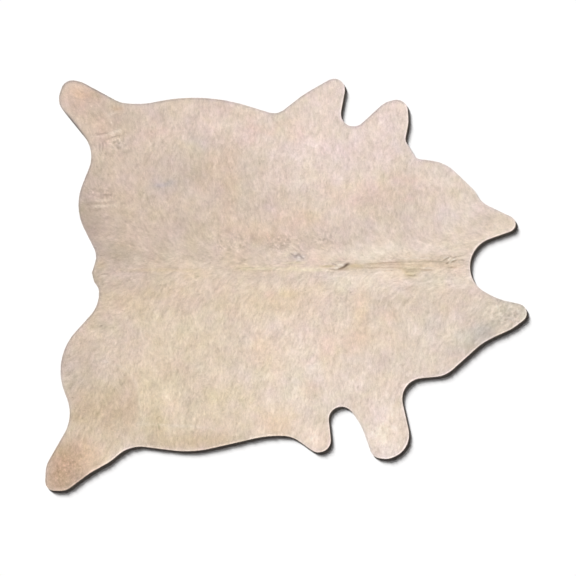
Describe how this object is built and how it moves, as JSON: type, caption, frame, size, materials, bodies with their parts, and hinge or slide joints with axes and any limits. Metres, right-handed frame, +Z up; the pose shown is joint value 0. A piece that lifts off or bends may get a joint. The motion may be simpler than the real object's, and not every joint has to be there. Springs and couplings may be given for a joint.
{
  "type": "cowhide rug",
  "caption": "Whole cowhide with its hair on, lying flat as a floor rug: short cream and tan coat, trimmed edge, hind legs, elbows, fore legs and neck flaps.",
  "frame": {"origin": "on the floor under the middle of the hide's box", "axes": "+X along the spine to the neck, +Y across the hide to its left side seen from above with the neck to the right, +Z up through the hair side"},
  "size_m": [2.12, 1.812, 0.006],
  "materials": {
    "cowhide_hair": "short lying cow hair, cream with tan and grey-beige areas, soft satin sheen along the hair",
    "cowhide_skin": "undyed suede flesh side and trimmed edge, matt"
  },
  "bodies": {
    "root": {"cowhide": "cowhide_hair"}
  },
  "joints": []
}
